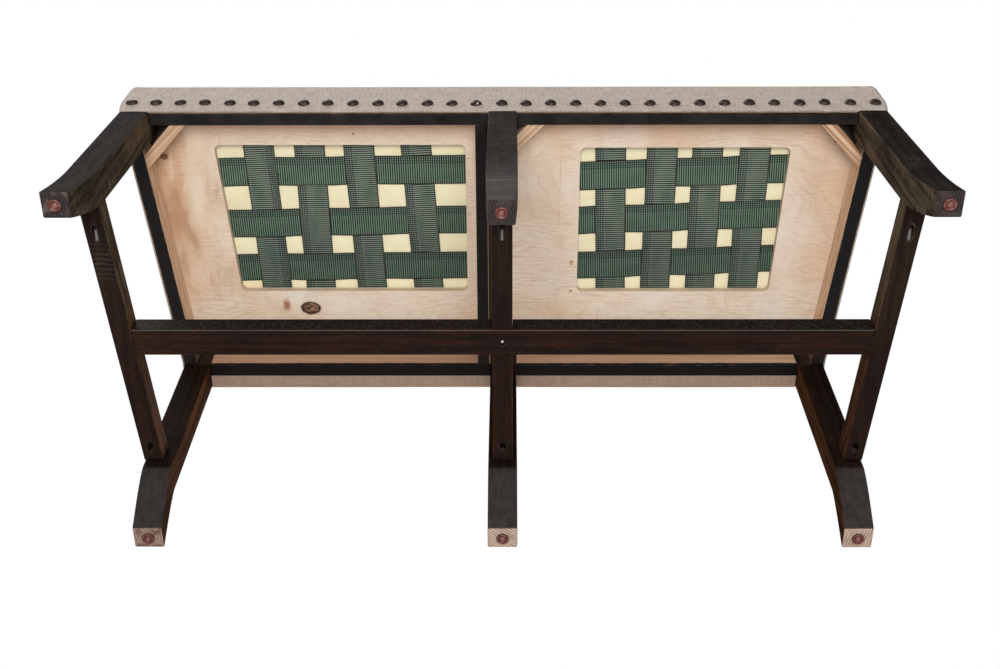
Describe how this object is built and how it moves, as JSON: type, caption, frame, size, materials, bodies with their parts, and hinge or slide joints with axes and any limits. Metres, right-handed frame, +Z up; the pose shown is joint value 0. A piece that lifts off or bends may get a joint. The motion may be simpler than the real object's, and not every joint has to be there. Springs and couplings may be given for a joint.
{
  "type": "dining settee",
  "caption": "Upholstered dining settee with a tapered webbed seat, raked padded back, dark sabre legs and a low stretcher frame.",
  "frame": {"origin": "on the floor under the middle of the bounding box", "axes": "+X along the seat to the sitter's left, +Y towards the back, +Z up"},
  "size_m": [1.169, 0.5976, 0.934],
  "materials": {
    "ebonised_wood": "dark ebonised stain, satin, rubbed at the edges",
    "raw_wood": "planed raw softwood, black paint on the rails' undersides",
    "plywood": "raw birch-faced plywood",
    "webbing": "ribbed elastic webbing, dark green",
    "foam": "open-cell upholstery foam, cream",
    "linen": "plain linen weave, taupe",
    "steel": "zinc-plated steel",
    "glide": "moulded red-brown plastic",
    "bronze": "dark antique bronze, on the decorative nails"
  },
  "bodies": {
    "root": {"back_cover": "linen", "back_foam": "foam", "back_panel": "plywood", "back_top_rail": "raw_wood", "centre_stretcher": "ebonised_wood", "corner_block_front_centre": "raw_wood", "corner_block_front_left": "raw_wood", "corner_block_front_right": "raw_wood", "cross_rail": "raw_wood", "foot_glide_front_centre": "glide", "foot_glide_front_left": "glide", "foot_glide_front_right": "glide", "foot_glide_rear_centre": "glide", "foot_glide_rear_left": "glide", "foot_glide_rear_right": "glide", "front_leg_centre": "ebonised_wood", "front_leg_left": "ebonised_wood", "front_leg_right": "ebonised_wood", "front_rail_left": "raw_wood", "front_rail_right": "raw_wood", "long_stretcher": "ebonised_wood", "outside_back": "linen", "rear_leg_centre": "ebonised_wood", "rear_leg_left": "ebonised_wood", "rear_leg_right": "ebonised_wood", "rear_rail_left": "raw_wood", "rear_rail_right": "raw_wood", "seat_cover": "linen", "seat_deck_left": "plywood", "seat_deck_right": "plywood", "seat_foam": "foam", "side_rail_left": "raw_wood", "side_rail_right": "raw_wood", "side_stretcher_left": "ebonised_wood", "side_stretcher_right": "ebonised_wood", "stretcher_screw_front_centre": "steel", "stretcher_screw_front_left": "steel", "stretcher_screw_front_right": "steel", "stretcher_screw_lap": "steel", "stretcher_screw_rear_centre": "steel", "stretcher_screw_rear_left": "steel", "stretcher_screw_rear_right": "steel", "tack_strip_left": "linen", "tack_strip_right": "linen", "webbing_left_cross_1": "webbing", "webbing_left_cross_2": "webbing", "webbing_left_cross_3": "webbing", "webbing_left_cross_4": "webbing", "webbing_left_long_1": "webbing", "webbing_left_long_2": "webbing", "webbing_left_long_3": "webbing", "webbing_right_cross_1": "webbing", "webbing_right_cross_2": "webbing", "webbing_right_cross_3": "webbing", "webbing_right_cross_4": "webbing", "webbing_right_long_1": "webbing", "webbing_right_long_2": "webbing", "webbing_right_long_3": "webbing"}
  },
  "joints": []
}
